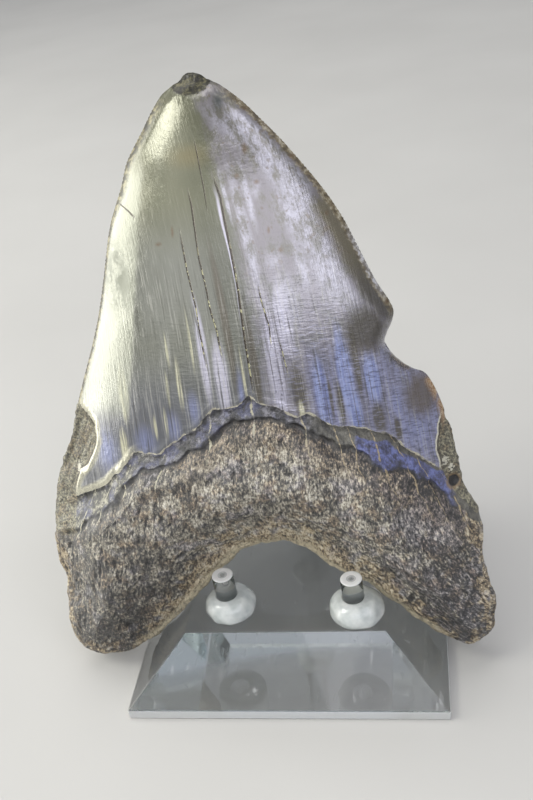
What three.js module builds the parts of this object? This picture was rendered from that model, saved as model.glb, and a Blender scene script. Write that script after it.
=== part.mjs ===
// A fossil megalodon tooth standing on a clear acrylic display stand.
// Millimetres, +Z up. The origin is the middle of the block's underside, and the display side faces -Y.
import * as THREE from 'three';
import { ImprovedNoise } from 'three/addons/math/ImprovedNoise.js';

// Stand block: a square slab with a thin upright edge and four bevelled sides.
const BLOCK_WIDTH = 70;
const BLOCK_TOP_WIDTH = 44.6;
const BLOCK_EDGE_HEIGHT = 2.3;
const BLOCK_HEIGHT = 13.3;

// Pegs: clear rod of one diameter, two short ones in front of the tooth and a tall one behind it.
const PEG_RADIUS = 2.4;
const PEG_SIDES = 32;
const LEFT_PEG = { x: -13.3, y: -14.7, height: 9.9 };
const RIGHT_PEG = { x: 15.4, y: -16.4, height: 9.6 };
const REAR_PEG = { x: 1.2, y: 13, height: 45.5 };

// Glue collars: a low dome round the foot of each peg, given by its base radius and height.
const COLLAR_GAP = 0.1;
const COLLAR_TOP_WALL = 0.45;
const DOME_POWER = 2.5;
const DOME_ROUNDING = 0.6;
const LEFT_COLLAR = { radius: 5.8, height: 4.1 };
const RIGHT_COLLAR = { radius: 6.1, height: 4.3 };
const REAR_COLLAR = { radius: 5.0, height: 4.0 };

// Tooth pose: its middle plane leans back from upright and meets the block's top at this Y.
const TOOTH_LEAN = THREE.MathUtils.degToRad(20);
const TOOTH_FOOT_Y = -12.5;

// Outline of the tooth in its own plane, u to the right and v up the plane from the block's top.
const LEFT_EDGE = [
  [-44.6, -12.1], [-49.6, -9.5], [-52.2, -3.6], [-52, 6.2], [-52.9, 14], [-52.7, 20.9], [-51.4, 27.8],
  [-49.4, 33.9], [-46.6, 39.5], [-44.5, 45.2], [-42.6, 50.5], [-39.5, 58], [-36.1, 67.2], [-33.5, 76.8],
  [-30.7, 87], [-27.6, 94.2], [-25.9, 98.9], [-22, 104.7], [-16.8, 111.9], [-13.4, 114],
];
const WORN_TIP = [[-11.3, 115.7], [-8.9, 115.3]];
const RIGHT_EDGE = [
  [-5.4, 113.3], [-0.4, 109.2], [5.1, 103.1], [10.4, 96.6], [15.6, 89.4], [18.9, 83.6], [22, 76.4],
  [25, 69.8], [27.2, 66], [27.9, 63.9], [27.4, 61.7], [26.2, 59.3], [25.6, 57.4], [26.5, 55.7],
  [28.6, 53.3], [30.9, 51.7], [33.4, 50.6], [35, 48.2], [37.2, 42], [38.7, 35.7], [39.6, 30.3],
  [40.6, 25.5], [42.8, 20.9], [43.9, 14.7], [43.9, 9.2], [44.9, 4.3], [45.9, -1.1], [44.9, -6.3],
  [42.6, -8.9], [39.5, -9.8],
];
const ROOT_ARCH = [
  [35.5, -8.7], [29.5, -4.9], [22.5, 0.7], [17.5, 4.7], [12.2, 7.8], [7.5, 11.2], [3.8, 13.8], [1.1, 14.9],
  [-3.5, 14], [-9.2, 12], [-14.5, 7.6], [-19.9, 2.7], [-22.4, 0.6], [-25.8, -2.8], [-30.7, -6.8], [-37.6, -10.4],
];

// Two chevrons cross the front from edge to edge: the foot of the dark band, and the enamel's lower edge.
const BAND_FOOT = [
  [-52.8, 18], [-45, 20.8], [-38.2, 25], [-33.6, 29], [-29, 33.4], [-17.5, 37.6], [-11.5, 41.5], [-6, 44.5],
  [-1, 45.4], [5, 44.3], [13, 40.1], [19, 37.2], [24.5, 33.2], [31, 29.6], [36, 25.2], [43.4, 17.5],
];
const ENAMEL_FOOT = [
  [-51.8, 26], [-45.4, 27.6], [-41.1, 29.2], [-36.8, 31.1], [-34.3, 33.2], [-31, 36], [-29.2, 38.2],
  [-26.7, 38.6], [-22.7, 38.3], [-21, 39.9], [-18.3, 41.3], [-13.2, 44.5], [-9.8, 47.7], [-7.3, 47.7],
  [-4.7, 48.3], [-2.1, 50.1], [-0.1, 48.5], [3.9, 47.3], [7.5, 45.1], [9.8, 45.7], [13.4, 43.3],
  [15.6, 42.4], [19.1, 41.8], [23.4, 40.1], [26.1, 39.1], [27.3, 37.4], [31.6, 33.5], [35.2, 30.7], [40, 28],
];

// Thickness of the tooth on each side of its middle plane.
const CROWN_BASE_V = 38;
const CROWN_LENGTH = 79;
const CROWN_FRONT = 12;
const CROWN_BACK = 5.8;
const ROOT_RIM = { front: 4, back: 3.6 };
const ROOT_FULLNESS = { front: 10.6, back: 3.2 };
const ROOT_FULLNESS_REACH = 17;
const ROOT_BOSS = { u: -4, v: 27, across: 20, along: 9, height: 2 };
const CROWN_EDGE_RADIUS = 0.6;

// The bite on the right edge: it starts and ends on the line of the undamaged edge, and its rim is blunt.
const BITE_TOP = [22, 76.4];
const BITE_FOOT = [36.5, 44];
const BITE_RIM_RADIUS = 2.2;
const BITE_V = 58;
const BITE_REACH = 9;

// The groove under the band, the enamel's lip, and the lumps and pits of the root.
const GROOVE_DEPTH = 0.9;
const GROOVE_WIDTH = 1.5;
const ENAMEL_LIP = 0.35;
const BAND_DIP = 0.5;
const LUMP_SIZE = 7;
const LUMP_HEIGHT = 0.7;
const PIT_SIZE = 3.2;
const PIT_DEPTH = 0.45;

// Flake lost from the left edge, where rough dentine shows below the enamel's level.
const FLAKE = { u: -43.5, v: 41.5, across: 5.6, along: 7.2, depth: 1.1 };

// The tip is worn: a shallow chipped hollow just below it.
const TIP_CHIP = { u: -9.8, v: 112, across: 4, along: 2.6, depth: 0.8 };

// Grid of the tooth: columns from edge to edge, and rows in the root, the dark band and the crown.
const COLUMNS = 44;
const ROOT_ROWS = 16;
const BAND_ROWS = 3;
const CROWN_ROWS = 23;
const CURVE_STEPS = 12;
const BULGE_FADE = 3;

const clamp01 = (x) => Math.min(Math.max(x, 0), 1);
const mix = (a, b, k) => a + (b - a) * k;
const smooth = (x) => clamp01(x) ** 2 * (3 - 2 * clamp01(x));
const quarterRound = (x) => Math.sqrt(1 - (1 - clamp01(x)) ** 2);
const bump = (x, y) => Math.exp(-x * x - y * y);

// A list of points along a smooth curve, as an array of Vector2 with even steps in each span.
function curvePoints(points, closed) {
  const curve = new THREE.CatmullRomCurve3(points.map(([u, v]) => new THREE.Vector3(u, v, 0)), closed, 'centripetal');
  const spans = closed ? points.length : points.length - 1;
  const along = curve.getPoints(spans * CURVE_STEPS).map((p) => new THREE.Vector2(p.x, p.y));
  return closed ? along.slice(0, -1) : along;
}

// A function that gives the point at a fraction of a polyline's length.
function byLength(points) {
  const lengths = [0];
  for (let i = 1; i < points.length; i += 1) {
    lengths.push(lengths[i - 1] + points[i].distanceTo(points[i - 1]));
  }
  const total = lengths[lengths.length - 1];
  return (fraction) => {
    const target = fraction * total;
    let i = 1;
    while (i < points.length - 1 && lengths[i] < target) {
      i += 1;
    }
    const part = (target - lengths[i - 1]) / (lengths[i] - lengths[i - 1]);
    return points[i - 1].clone().lerp(points[i], clamp01(part));
  };
}

// The fraction of a polyline's length at its point nearest to a target.
function nearestFraction(points, target) {
  const lengths = [0];
  let best = 0;
  for (let i = 1; i < points.length; i += 1) {
    lengths.push(lengths[i - 1] + points[i].distanceTo(points[i - 1]));
    if (points[i].distanceTo(target) < points[best].distanceTo(target)) {
      best = i;
    }
  }
  return lengths[best] / lengths[lengths.length - 1];
}

function distanceToPath(points, p, closed) {
  const count = closed ? points.length : points.length - 1;
  let nearest = Infinity;
  for (let i = 0; i < count; i += 1) {
    const a = points[i];
    const b = points[(i + 1) % points.length];
    const along = b.clone().sub(a);
    const part = clamp01(p.clone().sub(a).dot(along) / along.lengthSq());
    nearest = Math.min(nearest, a.clone().addScaledVector(along, part).distanceTo(p));
  }
  return nearest;
}

// How far a point lies above a chevron, measured square to it.
function heightAbove(points, p) {
  let i = 1;
  while (i < points.length - 1 && points[i].x < p.x) {
    i += 1;
  }
  const along = points[i].clone().sub(points[i - 1]).normalize();
  const above = (p.y - points[i - 1].y) * along.x - (p.x - points[i - 1].x) * along.y;
  return Math.sign(above) * distanceToPath(points, p, false);
}

const outline = curvePoints([...LEFT_EDGE, ...WORN_TIP, ...RIGHT_EDGE, ...ROOT_ARCH], true);
const bandFoot = curvePoints(BAND_FOOT, false);
const enamelFoot = curvePoints(ENAMEL_FOOT, false);

// The four sides of the outline, each running upward or from left to right.
const leftEnd = (LEFT_EDGE.length - 1) * CURVE_STEPS;
const rightStart = leftEnd + (WORN_TIP.length + 1) * CURVE_STEPS;
const rightEnd = rightStart + (RIGHT_EDGE.length - 1) * CURVE_STEPS;
const leftPoints = outline.slice(0, leftEnd + 1);
const rightPoints = outline.slice(rightStart, rightEnd + 1).reverse();
const leftSide = byLength(leftPoints);
const rightSide = byLength(rightPoints);
const tipSide = byLength(outline.slice(leftEnd, rightStart + 1));
const archSide = byLength([...outline.slice(rightEnd), outline[0]].reverse());

// How far a side bulges past the straight line between its two stops.
function sideBulge(side, [low, high], rise) {
  return side(mix(low, high, rise)).sub(side(low).lerp(side(high), rise));
}

// A point between two cross lines. The sides' bulges are added, and each fades quickly inward.
function patchPoint(lower, upper, span, rise, across) {
  return lower(across).lerp(upper(across), rise)
    .addScaledVector(sideBulge(leftSide, span.left, rise), (1 - across) ** BULGE_FADE)
    .addScaledVector(sideBulge(rightSide, span.right, rise), across ** BULGE_FADE);
}

// A chevron whose ends are moved onto the outline.
function fittedLine(points, leftFraction, rightFraction) {
  const line = byLength(points);
  const leftShift = leftSide(leftFraction).sub(line(0));
  const rightShift = rightSide(rightFraction).sub(line(1));
  return (t) => line(t).addScaledVector(leftShift, 1 - t).addScaledVector(rightShift, t);
}

function toothGrid() {
  const ends = [bandFoot, enamelFoot].map((line) => ({
    left: nearestFraction(leftPoints, line[0]),
    right: nearestFraction(rightPoints, line[line.length - 1]),
  }));
  const crossLines = [
    archSide,
    fittedLine(bandFoot, ends[0].left, ends[0].right),
    fittedLine(enamelFoot, ends[1].left, ends[1].right),
    tipSide,
  ];
  const stops = { left: [0, ends[0].left, ends[1].left, 1], right: [0, ends[0].right, ends[1].right, 1] };
  const rises = [];
  for (let i = 0; i < ROOT_ROWS; i += 1) {
    rises.push({ band: 0, rise: mix(i / ROOT_ROWS, (i / ROOT_ROWS) ** 2, 0.6) });
  }
  for (let i = 0; i < BAND_ROWS; i += 1) {
    rises.push({ band: 1, rise: i / BAND_ROWS });
  }
  for (let i = 0; i <= CROWN_ROWS; i += 1) {
    rises.push({ band: 2, rise: i / CROWN_ROWS });
  }
  return rises.map(({ band, rise }) => {
    const span = {
      left: [stops.left[band], stops.left[band + 1]],
      right: [stops.right[band], stops.right[band + 1]],
    };
    const row = [];
    for (let j = 0; j <= COLUMNS; j += 1) {
      const across = mix(j / COLUMNS, (1 - Math.cos((Math.PI * j) / COLUMNS)) / 2, 0.5);
      row.push(patchPoint(crossLines[band], crossLines[band + 1], span, rise, across));
    }
    return row;
  });
}

// Where a side lies across the tooth at a height up its plane.
function sideAt(points, v) {
  let i = 1;
  while (i < points.length - 1 && points[i].y < v) {
    i += 1;
  }
  const part = (v - points[i - 1].y) / (points[i].y - points[i - 1].y);
  return mix(points[i - 1].x, points[i].x, clamp01(part));
}

// Place across the crown: -1 on the left edge, and 1 on the right edge as it was before the bite.
function crownOffset(p) {
  const left = sideAt(leftPoints, p.y);
  const part = (BITE_TOP[1] - p.y) / (BITE_TOP[1] - BITE_FOOT[1]);
  const filled = mix(BITE_TOP[0], BITE_FOOT[0], part) + Math.sin(Math.PI * part);
  const right = part > 0 && part < 1 ? filled : sideAt(rightPoints, p.y);
  return (2 * (p.x - left)) / (right - left) - 1;
}

const noise = new ImprovedNoise();

// Lumps and pits of the root's rough surface.
function rootRelief(p, side) {
  const lumps = noise.noise(p.x / LUMP_SIZE, p.y / LUMP_SIZE, side * 5.3);
  const pits = noise.noise(p.x / PIT_SIZE, p.y / (PIT_SIZE * 1.8), side * 9.1 + 3);
  return LUMP_HEIGHT * lumps - PIT_DEPTH * Math.abs(pits);
}

// Heights of the front and back surfaces above the middle plane at one grid point.
function thickness(p) {
  const edge = distanceToPath(outline, p, true);
  const aboveFoot = heightAbove(bandFoot, p);
  const aboveEnamel = heightAbove(enamelFoot, p);
  const crown = smooth((aboveFoot + aboveEnamel) / 18 + 0.5);
  const side = crownOffset(p);
  const lens = clamp01(1 - side * side);
  const up = clamp01((p.y - CROWN_BASE_V) / CROWN_LENGTH);
  const bite = side > 0 ? bump((p.y - BITE_V) / BITE_REACH, 0) : 0;
  const crownEdge = quarterRound(edge / mix(CROWN_EDGE_RADIUS, BITE_RIM_RADIUS, bite));
  const crownFront = CROWN_FRONT * (1 - up ** 1.7) ** 0.8 * lens ** 0.85 * crownEdge;
  const crownBack = CROWN_BACK * (1 - up ** 2) ** 0.7 * lens ** 0.7 * crownEdge;
  const full = smooth(edge / ROOT_FULLNESS_REACH);
  const boss = ROOT_BOSS.height * bump((p.x - ROOT_BOSS.u) / ROOT_BOSS.across, (p.y - ROOT_BOSS.v) / ROOT_BOSS.along);
  const inward = smooth(edge / 5);
  const rootFront = ROOT_RIM.front * quarterRound(edge / ROOT_RIM.front) + ROOT_FULLNESS.front * full
    + boss + rootRelief(p, 1) * inward;
  const rootBack = ROOT_RIM.back * quarterRound(edge / ROOT_RIM.back) + ROOT_FULLNESS.back * full
    + rootRelief(p, -1) * inward;
  const groove = GROOVE_DEPTH * bump((aboveFoot + 0.4) / GROOVE_WIDTH, 0) * inward;
  const band = BAND_DIP * smooth(aboveFoot / 1.5) * smooth(-aboveEnamel / 1.2) * inward;
  const lip = ENAMEL_LIP * smooth(aboveEnamel / 0.8 + 0.5) * inward;
  const flake = FLAKE.depth * smooth(2.2 - 2.2 * Math.hypot((p.x - FLAKE.u) / FLAKE.across, (p.y - FLAKE.v) / FLAKE.along));
  const chip = TIP_CHIP.depth * bump((p.x - TIP_CHIP.u) / TIP_CHIP.across, (p.y - TIP_CHIP.v) / TIP_CHIP.along);
  const front = mix(rootFront, crownFront, crown) - groove - band + lip - (flake + chip) * smooth(edge / 1.5);
  return { front: Math.max(front, 0), back: mix(rootBack, crownBack, crown) };
}

// The middle surface curves: forward at the lobes and back toward the tip.
function middleBend(v) {
  const lobes = Math.max((12 - v) / 28, 0);
  const tip = Math.max((v - 45) / 70, 0);
  return 2.6 * lobes ** 2 - 2.5 * tip ** 2;
}

// One closed surface: a front and a back sheet that share the vertices along the outline.
function toothGeometry() {
  const grid = toothGrid();
  const last = grid.length - 1;
  const positions = [];
  const index = { front: [], back: [] };
  grid.forEach((row, i) => {
    index.front.push([]);
    index.back.push([]);
    row.forEach((point, j) => {
      const onEdge = i === 0 || i === last || j === 0 || j === COLUMNS;
      const depth = onEdge ? { front: 0, back: 0 } : thickness(point);
      const middle = middleBend(point.y);
      index.front[i].push(positions.length / 3);
      index.back[i].push(onEdge ? positions.length / 3 : positions.length / 3 + 1);
      positions.push(point.x, point.y, middle + depth.front);
      if (!onEdge) {
        positions.push(point.x, point.y, middle - depth.back);
      }
    });
  });
  const faces = [];
  const addQuad = (a, b, c, d) => faces.push(a, b, c, a, c, d);
  for (let i = 0; i < last; i += 1) {
    for (let j = 0; j < COLUMNS; j += 1) {
      const front = index.front;
      const back = index.back;
      addQuad(front[i][j], front[i][j + 1], front[i + 1][j + 1], front[i + 1][j]);
      addQuad(back[i][j], back[i + 1][j], back[i + 1][j + 1], back[i][j + 1]);
    }
  }
  const geometry = new THREE.BufferGeometry();
  geometry.setAttribute('position', new THREE.Float32BufferAttribute(positions, 3));
  geometry.setIndex(faces);
  geometry.computeVertexNormals();
  return geometry;
}

// A square block turned as a four-sided lathe, so its profile runs from the axis out and back.
function blockGeometry() {
  const corner = Math.SQRT2 / 2;
  const profile = [
    [0, 0], [BLOCK_WIDTH * corner, 0], [BLOCK_WIDTH * corner, BLOCK_EDGE_HEIGHT],
    [BLOCK_TOP_WIDTH * corner, BLOCK_HEIGHT], [0, BLOCK_HEIGHT],
  ].map(([r, z]) => new THREE.Vector2(r, z));
  return new THREE.LatheGeometry(profile, 4, Math.PI / 4).rotateX(Math.PI / 2);
}

function pegGeometry(height) {
  return new THREE.CylinderGeometry(PEG_RADIUS, PEG_RADIUS, height, PEG_SIDES).rotateX(Math.PI / 2)
    .translate(0, 0, height / 2);
}

// A ring whose outside is a dome that draws in to a thin lip against the peg.
function collarGeometry({ radius, height }) {
  const bore = PEG_RADIUS + COLLAR_GAP;
  const lip = bore + COLLAR_TOP_WALL;
  const outside = (rise) => lip + (radius - lip) * (1 - rise ** DOME_POWER) ** DOME_ROUNDING;
  const profile = [[bore, 0]];
  for (const rise of [0, 0.3, 0.55, 0.75, 0.9, 1]) {
    profile.push([outside(rise), rise * height]);
  }
  profile.push([bore, height], [bore, 0]);
  return new THREE.LatheGeometry(profile.map(([r, z]) => new THREE.Vector2(r, z)), PEG_SIDES).rotateX(Math.PI / 2);
}

const fossil = new THREE.MeshStandardMaterial({ color: 0x6f6c63, roughness: 0.45, metalness: 0 });
const acrylic = new THREE.MeshStandardMaterial({
  color: 0xe8eef0, roughness: 0.05, metalness: 0, transparent: true, opacity: 0.3,
});
const glue = new THREE.MeshStandardMaterial({
  color: 0xdfe3e0, roughness: 0.15, metalness: 0, transparent: true, opacity: 0.8,
});

const part = new THREE.Group();

function place(name, geometry, material, x, y, z) {
  const mesh = new THREE.Mesh(geometry, material);
  mesh.name = name;
  mesh.position.set(x, y, z);
  part.add(mesh);
  return mesh;
}

place('stand_block', blockGeometry(), acrylic, 0, 0, 0);
place('front_peg_left', pegGeometry(LEFT_PEG.height), acrylic, LEFT_PEG.x, LEFT_PEG.y, BLOCK_HEIGHT);
place('front_peg_right', pegGeometry(RIGHT_PEG.height), acrylic, RIGHT_PEG.x, RIGHT_PEG.y, BLOCK_HEIGHT);
place('rear_peg', pegGeometry(REAR_PEG.height), acrylic, REAR_PEG.x, REAR_PEG.y, BLOCK_HEIGHT);
place('glue_collar_left', collarGeometry(LEFT_COLLAR), glue, LEFT_PEG.x, LEFT_PEG.y, BLOCK_HEIGHT);
place('glue_collar_right', collarGeometry(RIGHT_COLLAR), glue, RIGHT_PEG.x, RIGHT_PEG.y, BLOCK_HEIGHT);
place('glue_collar_rear', collarGeometry(REAR_COLLAR), glue, REAR_PEG.x, REAR_PEG.y, BLOCK_HEIGHT);
const tooth = place('tooth', toothGeometry(), fossil, 0, TOOTH_FOOT_Y, BLOCK_HEIGHT);
tooth.rotation.x = Math.PI / 2 - TOOTH_LEAN;

export default part;
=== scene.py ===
"""The looks of a fossil megalodon tooth on a clear acrylic stand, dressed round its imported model.

The part's frame is kept: +Z up, the display side faces -Y, the origin is under the middle of the block.
Sizes are in millimetres up to the moment that a mesh is made, and Blender's are in metres.
"""

import math
from functools import reduce

import bmesh
import bpy
import numpy as np
from mathutils import Matrix, Vector


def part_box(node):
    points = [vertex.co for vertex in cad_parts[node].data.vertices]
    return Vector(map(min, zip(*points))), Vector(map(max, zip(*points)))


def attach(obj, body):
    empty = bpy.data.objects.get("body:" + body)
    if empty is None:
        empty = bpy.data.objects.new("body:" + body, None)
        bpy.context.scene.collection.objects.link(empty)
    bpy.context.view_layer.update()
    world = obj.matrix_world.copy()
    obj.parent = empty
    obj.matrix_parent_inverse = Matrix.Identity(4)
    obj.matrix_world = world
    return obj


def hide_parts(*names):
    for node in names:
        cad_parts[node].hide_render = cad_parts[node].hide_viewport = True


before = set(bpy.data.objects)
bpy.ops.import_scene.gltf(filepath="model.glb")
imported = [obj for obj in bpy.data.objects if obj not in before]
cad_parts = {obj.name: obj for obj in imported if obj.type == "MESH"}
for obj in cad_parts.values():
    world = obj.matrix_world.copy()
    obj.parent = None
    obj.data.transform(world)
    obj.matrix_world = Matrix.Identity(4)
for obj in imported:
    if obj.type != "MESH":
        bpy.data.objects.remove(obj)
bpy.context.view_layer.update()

MM = 0.001

# Stand block and pegs.
BLOCK_WIDTH = 70
BLOCK_TOP_WIDTH = 44.6
BLOCK_EDGE_HEIGHT = 2.3
BLOCK_HEIGHT = 13.3
BLOCK_EDGE_ROUNDING = 0.25
BLOCK_EDGE_STEPS = 3
PEG_RADIUS = 2.4
PEG_SIDES = 64
PEG_RIM = 0.18
PEG_LIFT = 0.03

# Glue collars: a dome whose radius falls off slowly at first, pulled a little to the right of its peg.
DOME_POWER = 2.5
DOME_ROUNDING = 0.6
DOME_SHIFT = 0.5
GLUE_GAP = 0.06
GLUE_LIP = 0.4
GLUE_RIPPLE = 0.35

# Tooth pose: its middle plane leans back from upright and meets the block's top at this Y.
TOOTH_LEAN = math.radians(20)
TOOTH_FOOT_Y = -12.5

# Curve of the tooth's middle surface: forward at the lobes and back toward the tip, from these v on.
LOBE_BEND = {"v": 12, "reach": 28, "depth": 2.6}
TIP_BEND = {"v": 45, "reach": 70, "depth": 2.5}

# Outline of the tooth in its own plane, u to the right and v up the plane from the block's top.
LEFT_EDGE = [
    (-44.6, -12.1), (-49.6, -9.5), (-52.2, -3.6), (-52, 6.2), (-52.9, 14), (-52.7, 20.9), (-51.4, 27.8),
    (-49.4, 33.9), (-46.6, 39.5), (-44.5, 45.2), (-42.6, 50.5), (-39.5, 58), (-36.1, 67.2), (-33.5, 76.8),
    (-30.7, 87), (-27.6, 94.2), (-25.9, 98.9), (-22, 104.7), (-16.8, 111.9), (-13.4, 114),
]
WORN_TIP = [(-11.3, 115.7), (-8.9, 115.3)]
RIGHT_EDGE = [
    (-5.4, 113.3), (-0.4, 109.2), (5.1, 103.1), (10.4, 96.6), (15.6, 89.4), (18.9, 83.6), (22, 76.4),
    (25, 69.8), (27.2, 66), (27.9, 63.9), (27.4, 61.7), (26.2, 59.3), (25.6, 57.4), (26.5, 55.7),
    (28.6, 53.3), (30.9, 51.7), (33.4, 50.6), (35, 48.2), (37.2, 42), (38.7, 35.7), (39.6, 30.3),
    (40.6, 25.5), (42.8, 20.9), (43.9, 14.7), (43.9, 9.2), (44.9, 4.3), (45.9, -1.1), (44.9, -6.3),
    (42.6, -8.9), (39.5, -9.8),
]
ROOT_ARCH = [
    (35.5, -8.7), (29.5, -4.9), (22.5, 0.7), (17.5, 4.7), (12.2, 7.8), (7.5, 11.2), (3.8, 13.8), (1.1, 14.9),
    (-3.5, 14), (-9.2, 12), (-14.5, 7.6), (-19.9, 2.7), (-22.4, 0.6), (-25.8, -2.8), (-30.7, -6.8),
    (-37.6, -10.4),
]

# Two chevrons cross the front: the foot of the dark band, and the enamel's lower edge.
BAND_FOOT = [
    (-52.8, 18), (-45, 20.8), (-38.2, 25), (-33.6, 29), (-29, 33.4), (-17.5, 37.6), (-11.5, 41.5),
    (-6, 44.5), (-1, 45.4), (5, 44.3), (13, 40.1), (19, 37.2), (24.5, 33.2), (31, 29.6), (36, 25.2),
    (43.4, 17.5),
]
ENAMEL_FOOT = [
    (-51.8, 26), (-45.4, 27.6), (-41.1, 29.2), (-36.8, 31.1), (-34.3, 33.2), (-31, 36), (-29.2, 38.2),
    (-26.7, 38.6), (-22.7, 38.3), (-21, 39.9), (-18.3, 41.3), (-13.2, 44.5), (-9.8, 47.7), (-7.3, 47.7),
    (-4.7, 48.3), (-2.1, 50.1), (-0.1, 48.5), (3.9, 47.3), (7.5, 45.1), (9.8, 45.7), (13.4, 43.3),
    (15.6, 42.4), (19.1, 41.8), (23.4, 40.1), (26.1, 39.1), (27.3, 37.4), (31.6, 33.5), (35.2, 30.7),
    (40, 28),
]

# Thickness of the tooth on each side of its middle plane.
CROWN_BASE_V = 38
CROWN_LENGTH = 79
CROWN_FRONT = 12
CROWN_BACK = 5.8
ROOT_RIM = {"front": 4, "back": 3.6}
ROOT_FULLNESS = {"front": 10.6, "back": 3.2}
ROOT_FULLNESS_REACH = 17
ROOT_BOSS = {"u": -4, "v": 27, "across": 20, "along": 9, "height": 2}
CROWN_EDGE_RADIUS = 0.6
CROWN_FADE = {"start": 10, "span": 15}
BITE_TOP = (22, 76.4)
BITE_FOOT = (36.5, 44)
BITE_RIM_RADIUS = 2.2
BITE_V = 58
BITE_REACH = 9

# Damage: rough stretches where the enamel is lost along both edges, a round hole, and the chipped tip.
# The left line runs up the plane with its points, and the right one is a shallow arc.
LEFT_WEAR = [
    (-45.6, 24), (-45.3, 28), (-44.6, 31), (-43.2, 33.8), (-41, 35.3), (-39.6, 37.4), (-38.2, 40.5),
    (-38.4, 44.2), (-40.4, 46.6), (-42.8, 48.2), (-45.5, 50),
]
FLAKE_DEPTH = 1.0
FLAKE_FOOT_V = 32
RIGHT_WEAR = {"u": 35.1, "v": 35, "along": 12, "flare": 4.8}
HOLE = {"u": 38.3, "v": 27, "radius": 1.3, "depth": 1.1}
TIP_CHIP = {"u": -9.8, "v": 114, "across": 5.5, "along": 3.4, "depth": 0.5}

# Relief of the surface: how wide and how high its lumps, grains and steps are.
GROOVE_DEPTH = 0.9
GROOVE_WIDTH = 1.5
FISSURE_DEPTH = 0.5
FISSURE_WIDTH = 0.4
LEDGE_HEIGHT = 0.45
ENAMEL_LIP = 0.35
BAND_DIP = 0.5
LUMP_HEIGHT = 0.7
KNOB_HEIGHT = 0.3
GRAIN_WIDTH = 0.62
GRAIN_LENGTH = 2.0
GRAIN_HEIGHT = 0.22
PIT_DEPTH = 0.3
SERRATION_PITCH = 0.85
SERRATION_HEIGHT = 0.2
SERRATION_START = {"left": 46, "right": 68}
SERRATION_END = 112
RIPPLES = {"u": -28, "v": 73, "across": 8, "along": 10, "height": 0.07}

# Grain of the root runs down from the band and bends outward toward each lobe.
GRAIN_TOP_V = 35
GRAIN_REACH = 40
GRAIN_BEND = {"left": 0.14, "right": 0.36}

# Streaks of the crown lean to the left as they rise, more on the right side and toward the tip.
STREAK_V = 50
STREAK_LEAN = 0.075
STREAK_FAN = 0.0015
STREAK_CURVE = {"v": 55, "rate": 0.0022}

# Grid of the tooth. The back is coarser by this factor, and the crown's edges are finer than the rows.
# Rows crowd toward the arch and columns toward the sides. Distances are found for some points at a time.
COLUMNS = 328
ROWS = {"root": 118, "band": 20, "crown": 94}
BACK_STEP = 2
EDGE_STEPS = 4
CURVE_STEPS = 12
BULGE_FADE = 3
EDGE_TOLERANCE = 0.0001
ROOT_CROWDING = 0.45
COLUMN_CROWDING = 0.5
POINTS_AT_ONCE = 4000

# Beside the bite the grid's cells are evened out, so that none of them folds over its neighbours.
EVEN_PLACE = (23, 57)
EVEN_REACH = 26
EVEN_PASSES = 300

# Colour patches of the crown, each as the u and v of its middle and its reach across and along. Those of
# the first groups follow the streaks, and their u is where the streak crosses the line v = STREAK_V.
BLUE_PATCHES = [
    (17.8, 53, 2, 12), (12.7, 49, 1.9, 10), (23, 51.5, 2.1, 7), (18.6, 45, 1.8, 6),
]
BLUE_GREY_PATCHES = [
    (-26, 41, 3.8, 5), (-36, 38.5, 4.5, 7), (-19, 44, 2.4, 5), (-3.4, 51, 1.2, 7), (-14, 48, 2, 5),
    (30, 39.5, 4.6, 8), (27, 45.5, 1.7, 5),
]
BLUE_ZONE = {"u": 10.4, "top": 62, "full": 53}
PALE_BUNDLES = [(4.4, 55, 2.2, 18), (7.6, 64, 2.2, 9), (-10.2, 60, 1.4, 14), (-7, 54, 2, 11)]
OLIVE_BARS = [
    (0.2, 56, 1.2, 16), (8.3, 49.5, 1.8, 8.5), (16.1, 47, 0.8, 6.5), (20.4, 55, 1, 10), (22.9, 43, 1.7, 4.5),
    (-4.3, 66, 1.2, 20), (26.3, 40, 0.9, 4), (14.3, 48.5, 0.45, 6),
]
PALE_STROKES = [
    (-31.4, 40, 1.4, 5), (-16.4, 53, 0.8, 7), (-20.6, 45, 0.5, 4.5), (-19.2, 52, 0.5, 5),
    (-23.2, 44, 0.5, 3.5),
    (-30, 51, 1.6, 8), (8.2, 46.3, 0.7, 3), (-2.4, 53, 0.4, 9), (-12.6, 62, 0.4, 9), (-18.2, 60, 0.4, 5),
]
WHITE_STREAKS = [(3.9, 82, 1.7, 19), (6.2, 90, 1.2, 9), (1.6, 90, 0.7, 8), (9, 69, 4, 7), (13.5, 75, 2, 7)]
WHITE_PATCHES = [(3.5, 103, 3, 4), (10, 80, 3, 4), (2, 91, 2, 3), (5, 77, 3, 4), (-5, 104, 2.2, 3)]
WHITE_MARGIN = {"high": 0.8, "low": 4, "full": 1.5, "fade": 4, "stop": 7.5}
# Painted highlight: the enamel left of this sloping line is painted paler, along the left edge.
PAINTED_HIGHLIGHT_LINE = {"u": -28.6, "v": 49, "slope": 0.147}
WORN_SHEEN = (-29.5, 76, 6, 12)
DOT_PATCH = (4.6, 51, 2, 5.5)
BROWN_SPOTS = [
    (-18.7, 81.9, 1.1, 0.7), (-15.4, 84.1, 0.5, 1.7), (0.3, 99.2, 1, 1.9), (-1.4, 93.9, 0.7, 0.9),
    (2.4, 92.4, 0.9, 0.8), (4.3, 82.8, 0.5, 1.2), (6.5, 78.7, 1, 0.8), (9.4, 97, 0.9, 0.9),
    (0.4, 107.3, 0.9, 0.9), (15.7, 85, 0.7, 0.9), (26.6, 66, 0.8, 0.9),
]
TAN_VEIL = (-10.8, 98.8, 7, 3.8)
TIP_STREAK = (-4.6, 109.4, 1.8, 3.4)
TIP_ZONE = (-10.4, 113.6, 6.5, 4.4)
TIP_MARKS = [(-12.4, 111.8, 1.1, 1), (-9, 113.9, 0.9, 0.9), (-11, 114.8, 1.3, 0.5)]
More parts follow.
